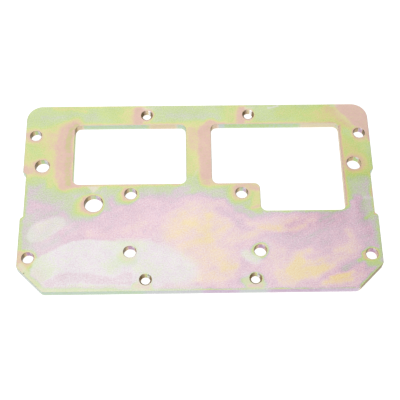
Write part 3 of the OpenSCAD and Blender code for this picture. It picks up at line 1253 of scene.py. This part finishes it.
@dataclass(frozen=True)
class FilmPalette:
    """Colours of the film in the order of its thinning, as screen colours of 0..255.

    Attributes:
        film: Colour at each tone.
        whites: Colours of bleached film, from violet to green, which the painted highlights use too.
        cuts: Colours of cut walls, from violet to green, darker than the faces' film: the cut surface and
            painted shade of the walls that face sideways.
        painted_shades: Colours of painted shade, from faint to deep.
        speckle: Tones by which fine speckle swings the film.
        cloud: Tones by which broader clouds swing it.
        cut_speckle: How far the speckle swings the tint of cut walls.
        white_speckle: How far the speckle swings the tint of bleached film.
        white_cloud: How far the clouds swing that tint.
        grain_gain: Grain that each tone adds.
        grain_start: Grain on film of tone 0.
        grain_most: Most grain on any film.
        cut_calm: Share of the grain that cut walls lack.
        painted_shade_cover: Share of the painted shade's colour for each unit of painted shade.
    """

    film: Stops = (
        (-1, 214, 205, 156),
        (0, 231, 196, 187),
        (1, 230, 212, 176),
        (2, 227, 223, 165),
        (3, 211, 225, 156),
        (4, 209, 222, 174),
        (5, 212, 218, 194),
        (6, 219, 209, 211),
        (7, 229, 205, 217),
        (8, 237, 211, 220),
        (9, 241, 220, 217),
        (10, 244, 224, 206),
        (11, 245, 227, 190),
    )
    whites: Stops = ((0.0, 234, 219, 225), (0.5, 238, 234, 237), (1.0, 231, 238, 216))
    cuts: Stops = (
        (0.0, 186, 145, 174),
        (0.3, 199, 183, 201),
        (0.6, 195, 197, 198),
        (0.8, 184, 201, 185),
        (1.0, 181, 202, 136),
    )
    painted_shades: Stops = (
        (0.22, 238, 204, 186),
        (0.45, 192, 168, 130),
        (0.7, 150, 130, 88),
        (1.0, 113, 95, 62),
    )
    speckle: float = 2.3
    cloud: float = 1.6
    cut_speckle: float = 0.4
    white_speckle: float = 1.2
    white_cloud: float = 0.9
    grain_gain: float = 0.24
    grain_start: float = 0.3
    grain_most: float = 1.9
    cut_calm: float = 0.5
    painted_shade_cover: float = 2.2

    def group(self) -> bpy.types.NodeTree:
        """Node group that turns the film's values into a colour.

        The film's colour comes first, then the cut walls and the bleach, which also carries the painted
        highlights, are blended over it, then fine grain deepens or lightens it, and the painted shade
        comes last.

        Returns:
            The group.
        """
        defaults = {"Tone": 8.0, "Depth": 1.0, "Bleach": 0.0, "Tint": 0.5, "Cut": 0.0, "Painted_shade": 0.0}
        nodes = NodeTree.group("passivation film", defaults, {"Color": "NodeSocketColor"})
        inputs = nodes.node("NodeGroupInput").outputs
        place = nodes.node("ShaderNodeTexCoord").outputs["Object"]
        speckle = nodes.swing(place, 700.0, 2.0)
        cloud = nodes.swing(place, 210.0, 3.0)
        salt = nodes.swing(place, 1170.0, 2.0)
        white, cut, painted_shade = (
            [(share, screen_colour(*colour)) for share, *colour in stops]
            for stops in (self.whites, self.cuts, self.painted_shades)
        )

        tone = nodes.math("MULTIPLY_ADD", speckle, self.speckle, inputs["Tone"])
        tone = nodes.math("MULTIPLY_ADD", cloud, self.cloud, tone)
        low = self.film[0][0]
        span = self.film[-1][0] - low
        film = [((tone_on - low) / span, screen_colour(*colour)) for tone_on, *colour in self.film]
        share = nodes.math("DIVIDE", nodes.math("SUBTRACT", tone, low), span)
        # Depth deepens and darkens the film's colour; its growth towards the right is painted shade.
        feeds = {"Color": nodes.ramp(share, film), "Gamma": inputs["Depth"]}
        colour = nodes.node("ShaderNodeGamma", feeds).outputs["Color"]

        # Cut walls take darker colours: their cut surface, and painted shade of walls that face sideways.
        cut_share = nodes.math("MULTIPLY_ADD", speckle, self.cut_speckle, inputs["Tint"])
        colour = nodes.blend(inputs["Cut"], colour, nodes.ramp(cut_share, cut))
        mottled = nodes.math("MULTIPLY_ADD", speckle, self.white_speckle, inputs["Tint"])
        white_share = nodes.math("MULTIPLY_ADD", cloud, self.white_cloud, mottled)
        colour = nodes.blend(inputs["Bleach"], colour, nodes.ramp(white_share, white))

        thin = nodes.math("MULTIPLY_ADD", inputs["Tone"], self.grain_gain, self.grain_start)
        thin = nodes.math("MINIMUM", thin, self.grain_most)
        calm = nodes.math("MULTIPLY_ADD", inputs["Cut"], -self.cut_calm, 1.0)
        grain = nodes.math("MULTIPLY_ADD", salt, nodes.math("MULTIPLY", thin, calm), 1.0)
        colour = nodes.node("ShaderNodeGamma", {"Color": colour, "Gamma": grain}).outputs["Color"]
        shade_share = nodes.math("MULTIPLY", inputs["Painted_shade"], self.painted_shade_cover)
        colour = nodes.blend(shade_share, colour, nodes.ramp(inputs["Painted_shade"], painted_shade))
        nodes.node("NodeGroupOutput", {"Color": colour})
        return nodes.tree


@dataclass(frozen=True)
class PassivatedZinc:
    """Satin zinc under an iridescent passivation film.

    Attributes:
        name: Material's name.
        roughness: Mean roughness.
        spread: How far the roughness swings.
        gleam: How much less rough the polished part of a bore is.
        relief: Strength of the surface relief.
        relief_height: Height of the surface relief, in metres.
        palette: Colours of the film.
    """

    name: str = "yellow passivated zinc"
    roughness: float = 0.42
    spread: float = 0.16
    gleam: float = 0.26
    relief: float = 0.12
    relief_height: float = 0.0002
    palette: FilmPalette = FilmPalette()

    def grain(self) -> bpy.types.NodeTree:
        """Node group of the steel's rolled grain.

        Returns:
            A group with the height of pits and long shallow scratches, and a roughness.
        """
        defaults = {"Mean": 0.4, "Spread": 0.1}
        results = dict.fromkeys(("Height", "Roughness"), "NodeSocketFloat")
        nodes = NodeTree.group("rolled grain", defaults, results)
        inputs = nodes.node("NodeGroupInput").outputs
        place = nodes.node("ShaderNodeTexCoord").outputs["Object"]
        run = (0.0, 0.0, math.radians(28.0))
        squeeze = (1.0, 12.0, 1.0)
        pit_share = 0.6
        scratch_share = 0.4
        feeds = {"Vector": place, "Rotation": run, "Scale": squeeze}
        stretch = nodes.node("ShaderNodeMapping", feeds).outputs["Vector"]
        pits = nodes.math("MULTIPLY", nodes.noise(place, 1800.0, 3.0), pit_share)
        scratches = nodes.noise(stretch, 120.0, 4.0)
        height = nodes.math("MULTIPLY_ADD", scratches, scratch_share, pits)
        cloud = nodes.swing(place, 90.0, 4.0)
        rough = nodes.math("MULTIPLY_ADD", cloud, inputs["Spread"], inputs["Mean"])
        nodes.node("NodeGroupOutput", {"Height": height, "Roughness": rough})
        return nodes.tree

    def material(self) -> bpy.types.Material:
        """Build the material.

        Returns:
            The material, which reads the film's values from the mesh's own attributes.
        """
        made, nodes = new_material(self.name)
        values = {
            name: nodes.node("ShaderNodeAttribute", attribute_name=name.lower()).outputs["Fac"]
            for name in ("Tone", "Depth", "Bleach", "Tint", "Cut", "Painted_shade", "Polish")
        }
        mean = nodes.math("MULTIPLY_ADD", values.pop("Polish"), -self.gleam, self.roughness)
        feeds = {"Mean": mean, "Spread": self.spread}
        grain = nodes.node("ShaderNodeGroup", feeds, node_tree=self.grain())
        film = nodes.node("ShaderNodeGroup", values, node_tree=self.palette.group())
        height = grain.outputs["Height"]
        feeds = {"Strength": self.relief, "Distance": self.relief_height, "Height": height}
        bump = nodes.node("ShaderNodeBump", feeds)
        feeds = {
            "Metallic": 1.0,
            "Base Color": film.outputs["Color"],
            "Roughness": grain.outputs["Roughness"],
            "Normal": bump.outputs["Normal"],
        }
        shader = nodes.node("ShaderNodeBsdfPrincipled", feeds)
        nodes.node("ShaderNodeOutputMaterial", {"Surface": shader.outputs["BSDF"]})
        return made


@dataclass(frozen=True)
class WallLooks:
    """Strengths of what shows on the walls, the edges, the bores and the threads.

    Attributes:
        edge_highlight_tones: Tones of the line of painted highlight along the sheet's edges, behind the
            windows and elsewhere.
        edge_highlight: How pale that painted highlight is.
        wall_tint: Tint of the sheet's walls between their own strokes.
        wall_streak: How far streaks swing the tint of every wall.
        foot_bleach: Bleach towards the foot of the sheet's walls.
        bore_gleam: Painted highlight on the plain holes' rear walls.
        glint: Painted glint on the plain holes' upper edges beside that highlight.
        rim_shade: Painted shade on the plain holes' edges.
        rim_front_shade: What the edges' front sides add to that painted shade.
        thread_tones: Tones in the front pair of threads and in the rear pair.
        thread_shade: Share of a bore's painted shade on a thread's left and on its right.
        thread_front_share: Share of that painted shade in the front pair.
        thread_left_shade: Least painted shade on the left in the front pair.
        thread_front_shade: Least painted shade on every thread's front side.
    """

    edge_highlight_tones: Point = (0.7, 2.3)
    edge_highlight: float = 0.35
    wall_tint: float = 0.82
    wall_streak: float = 0.12
    foot_bleach: float = 0.24
    bore_gleam: float = 0.6
    glint: float = 0.9
    rim_shade: float = 0.42
    rim_front_shade: float = 0.4
    thread_tones: Point = (2.6, 1.0)
    thread_shade: Point = (0.6, 0.54)
    thread_front_share: float = 0.9
    thread_left_shade: float = 0.36
    thread_front_shade: float = 0.6


@dataclass
class DressedPlate:
    """The whole plate: its form, its film, the looks of its walls and its finish."""

    plan: PlatePlan = field(default_factory=PlatePlan)
    coat: FilmCoat = field(default_factory=FilmCoat)
    looks: WallLooks = field(default_factory=WallLooks)
    finish: PassivatedZinc = field(default_factory=PassivatedZinc)

    def thread_painted_shade(self, facing: Array, front_side: Array, y: Array) -> Array:
        """Painted shade of the threads, which is fainter in the front pair, and mid shade at each front
        side.

        Args:
            facing: Sideways part of the thread's outward direction, -1 to 1.
            front_side: 1 on a hole's front side, whose wall faces the rear.
            y: Places from front to rear, in mm.

        Returns:
            0 for bright film to 1 for deep shade.
        """
        looks = self.looks
        is_front = y < 0.0
        painted_shade = np.where(facing > 0.0, *looks.thread_shade) * bore_painted_shade(facing, 0.8)
        painted_shade = painted_shade * np.where(is_front, looks.thread_front_share, 1.0)
        painted_shade = np.maximum(painted_shade, looks.thread_left_shade * rise(facing, 0.0, 0.15) * is_front)
        return np.maximum(painted_shade, looks.thread_front_shade * front_side)

    def film_values(self, points: Array, normals: Array, share: Array) -> dict[str, Array]:
        """Film values at every point of the mesh.

        Args:
            points: Points of the mesh, in mm.
            normals: Their normals.
            share: 0 on the faces to 1 on the walls.

        Returns:
            Tone, depth, bleach with the painted highlights, tint, cut, painted shade and polish, one
            number a point each.
        """
        coat = self.coat
        looks = self.looks
        x, y, z = points.T
        is_top = z > 0.5 * self.plan.thickness
        along, across = coat.wander(x, y)
        reach = np.maximum(np.hypot(normals[:, 0], normals[:, 1]), 1e-6)
        facing = normals[:, 0] / reach
        front_side = rise(normals[:, 1] / reach, 0.1, 0.4)
        bore_tint, bore_shade, in_bore = coat.bore_walls(self.plan, x, y, facing)
        in_tap = np.zeros(len(points))
        for hole_x, hole_y, radius in self.plan.tap_mouths:
            in_tap[np.hypot(x - hole_x, y - hole_y) < radius + 0.05] = 1.0
        on_sheet = (1.0 - in_bore) * (1.0 - in_tap)

        face = np.where(is_top, coat.top_film(self.plan, x, y), coat.under_film(self.plan, x, y))
        face = face + (np.where(y < 0.0, *looks.thread_tones) - face) * in_tap
        middle = 4.0 * share * (1.0 - share)
        ring = middle * in_bore
        # The line on the sheet's rounded edges is a painted highlight, in film tones and made paler.
        line = middle * on_sheet
        edge_highlight_tone = np.where(y > WINDOW_REAR_Y, *looks.edge_highlight_tones)

        tint = lay(0.5, coat.tint, along, across)
        cut_tint = lay(looks.wall_tint, coat.walls, x, y)
        cut_tint = cut_tint + (bore_tint - cut_tint) * in_bore
        cut_tint = cut_tint + looks.wall_streak * coat.streaks(x + y, 4.0 * z)

        # Painted highlights: a gleam on the right of the bores' rear walls and of the threads, and a
        # glint on the bores' upper edges; the gleam also lowers the roughness there.
        wide = bore_gleam(facing, 0.3)
        upper = looks.bore_gleam * bore_gleam(facing, 0.22) * rise(z, 4.2, 0.8)
        gleam = (upper * in_bore + wide * in_tap) * share
        glint = looks.glint * ring * wide * is_top
        pale = lay(0.0, coat.bleach, along, across) * (1.0 - share) * is_top
        # Paler towards the foot of the sheet's walls.
        foot_bleached = looks.foot_bleach * rise(-z, -2.6, 1.6) * share * on_sheet

        # Painted shade: on the sheet's walls in the windows' corners and beyond, on the sides of the
        # bores and threads, and round the bores' edges, most on their front sides.
        painted_shade = lay(0.0, coat.wall_painted_shade, x, y) * on_sheet + bore_shade * in_bore
        painted_shade = painted_shade + self.thread_painted_shade(facing, front_side, y) * in_tap
        rim_shade = looks.rim_shade + looks.rim_front_shade * front_side
        painted_shade = np.maximum(painted_shade * share, rim_shade * ring)
        return {
            "tone": face + (edge_highlight_tone - face) * line,
            "depth": coat.depth(x, y),
            "bleach": np.max([pale, looks.edge_highlight * line, gleam, foot_bleached, glint], axis=0),
            "tint": tint + (cut_tint - tint) * share * (1.0 - gleam),
            "cut": rise(share, 0.3, 0.6) * (1.0 - in_tap),
            "painted_shade": painted_shade * (1.0 - np.maximum(gleam, glint)),
            "polish": gleam,
        }

    def build(self) -> bpy.types.Object:
        """Make the plate's object, in metres, with its normals, attributes and material.

        Returns:
            The object.
        """
        points, normals, triangles, share = PlateBody(self.plan).build()
        mesh = bpy.data.meshes.new("barrier_plate")
        mesh.from_pydata((points * MM).tolist(), [], triangles.tolist())
        mesh.polygons.foreach_set("use_smooth", np.ones(len(triangles), bool))
        for name, values in self.film_values(points, normals, share).items():
            attribute = mesh.attributes.new(name, "FLOAT", "POINT")
            attribute.data.foreach_set("value", values.astype(np.float32))
        mesh.update()
        mesh.normals_split_custom_set_from_vertices(normals.tolist())
        mesh.materials.append(self.finish.material())
        made = bpy.data.objects.new("barrier_plate", mesh)
        bpy.context.scene.collection.objects.link(made)
        LOG.info("plate: %d points, %d triangles", len(points), len(triangles))
        return made


@dataclass(frozen=True)
class Studio:
    """Pale floor, soft light from all round, and the camera.

    Attributes:
        floor_size: Width and depth of the floor, in metres.
        floor_drop: Gap below the plate, in metres.
        floor_glow: Share of the floor's white that it gives off itself.
        floor_tone: Grey of the floor's own surface, 0 to 1.
        fall: Light from left to right, as places in 0..1, each with its strength.
        softbox_place: Soft lamp's place, in metres; it faces the plate.
        softbox_size: Width of the soft lamp, in metres.
        softbox_power: Power of the soft lamp, in watts.
        camera_place: Camera's place, in metres.
        camera_turn: Camera's turn about X, Y and Z, in degrees.
        lens: Focal length for a sensor 36 mm wide, in mm.
    """

    floor_size: float = 6.0
    floor_drop: float = 0.0002
    floor_glow: float = 0.93
    floor_tone: float = 0.32
    fall: tuple[Point, ...] = ((0.13, 0.38), (0.5, 1.255), (0.8, 0.25))
    softbox_place: tuple[float, float, float] = (-0.66, -0.44, 0.78)
    softbox_size: float = 0.8
    softbox_power: float = 1.7
    camera_place: tuple[float, float, float] = (-0.011718, -0.351767, 0.651804)
    camera_turn: tuple[float, float, float] = (28.2004, -0.5458, -1.0170)
    lens: float = 90.243

    def build_floor(self) -> None:
        """Lay a flat white floor, which keeps the plate's soft shadow."""
        lines = 9
        places = np.linspace(-0.5, 0.5, lines) * self.floor_size
        x, y = np.meshgrid(places, places)
        points = np.column_stack([x.ravel(), y.ravel(), np.full(x.size, -self.floor_drop)])
        grid = np.arange(x.size).reshape(lines, lines)
        quads = np.stack([grid[:-1, :-1], grid[:-1, 1:], grid[1:, 1:], grid[1:, :-1]], axis=-1)
        mesh = bpy.data.meshes.new("floor")
        mesh.from_pydata(points.tolist(), [], quads.reshape(-1, 4).tolist())
        mesh.materials.append(self.floor_material())
        floor = bpy.data.objects.new("floor", mesh)
        bpy.context.scene.collection.objects.link(floor)

    def floor_material(self) -> bpy.types.Material:
        """White floor: a matt grey surface, with a glow that only the camera and gloss see.

        Returns:
            The floor's material.
        """
        made, nodes = new_material("studio floor")
        path = nodes.node("ShaderNodeLightPath").outputs
        seen = nodes.math("MAXIMUM", path["Is Camera Ray"], path["Is Glossy Ray"])
        seen = nodes.math("MAXIMUM", seen, path["Is Transmission Ray"])
        strength = nodes.math("MULTIPLY", seen, self.floor_glow)
        grey = (self.floor_tone,) * 3 + (1.0,)
        matt = nodes.node("ShaderNodeBsdfDiffuse", {"Color": grey}).outputs["BSDF"]
        glow = nodes.node("ShaderNodeEmission", {"Strength": strength}).outputs["Emission"]
        total = nodes.node("ShaderNodeAddShader", {0: matt, 1: glow})
        nodes.node("ShaderNodeOutputMaterial", {"Surface": total.outputs["Shader"]})
        return made

    def build_world(self) -> None:
        """Light from all round that falls off a little to the left and more to the right."""
        world = bpy.data.worlds.new("studio")
        world.use_nodes = True
        bpy.context.scene.world = world
        nodes = NodeTree(world.node_tree)
        direction = nodes.node("ShaderNodeTexCoord").outputs["Generated"]
        parts = nodes.node("ShaderNodeSeparateXYZ", {0: direction}).outputs
        share = nodes.math("MULTIPLY_ADD", parts["X"], 0.5, 0.5)
        levels = [(place, (level, level, level, 1.0)) for place, level in self.fall]
        light = nodes.ramp(share, levels, "EASE")
        white = (1.0, 1.0, 1.0, 1.0)
        lamp, backdrop = (
            nodes.node("ShaderNodeBackground", {"Color": colour}).outputs["Background"]
            for colour in (light, white)
        )
        is_camera = nodes.node("ShaderNodeLightPath").outputs["Is Camera Ray"]
        pick = nodes.node("ShaderNodeMixShader", {"Fac": is_camera, 1: lamp, 2: backdrop})
        nodes.node("ShaderNodeOutputWorld", {"Surface": pick.outputs["Shader"]})

    def build_softbox(self) -> None:
        """Hang a soft lamp at the front left, which the rims and bores of the holes glint with."""
        light = bpy.data.lights.new("softbox", "AREA")
        light.shape = "SQUARE"
        light.size = self.softbox_size
        light.energy = self.softbox_power
        lamp = bpy.data.objects.new("softbox", light)
        lamp.location = self.softbox_place
        lamp.rotation_euler = (-Vector(self.softbox_place)).to_track_quat("-Z", "Y").to_euler()
        lamp.visible_camera = False
        bpy.context.scene.collection.objects.link(lamp)

    def build_camera(self) -> None:
        """Set the camera to the photograph's place, turn and lens."""
        data = bpy.data.cameras.new("camera")
        data.sensor_width = 36.0
        data.lens = self.lens
        data.clip_start = 0.01
        data.clip_end = 50.0
        camera = bpy.data.objects.new("camera", data)
        camera.location = self.camera_place
        camera.rotation_euler = Euler([math.radians(turn) for turn in self.camera_turn])
        bpy.context.scene.collection.objects.link(camera)
        bpy.context.scene.camera = camera


def main() -> None:
    """Build the studio and the plate."""
    logging.basicConfig(level=logging.INFO, format="%(message)s")
    bpy.context.scene.view_settings.view_transform = "Standard"
    studio = Studio()
    studio.build_softbox()
    studio.build_camera()
    studio.build_world()
    studio.build_floor()
    plate = DressedPlate().build()
    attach(plate, "root")
    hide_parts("plate")
    LOG.info("pieces: %s", plate.name)


if __name__ == "__main__":
    main()
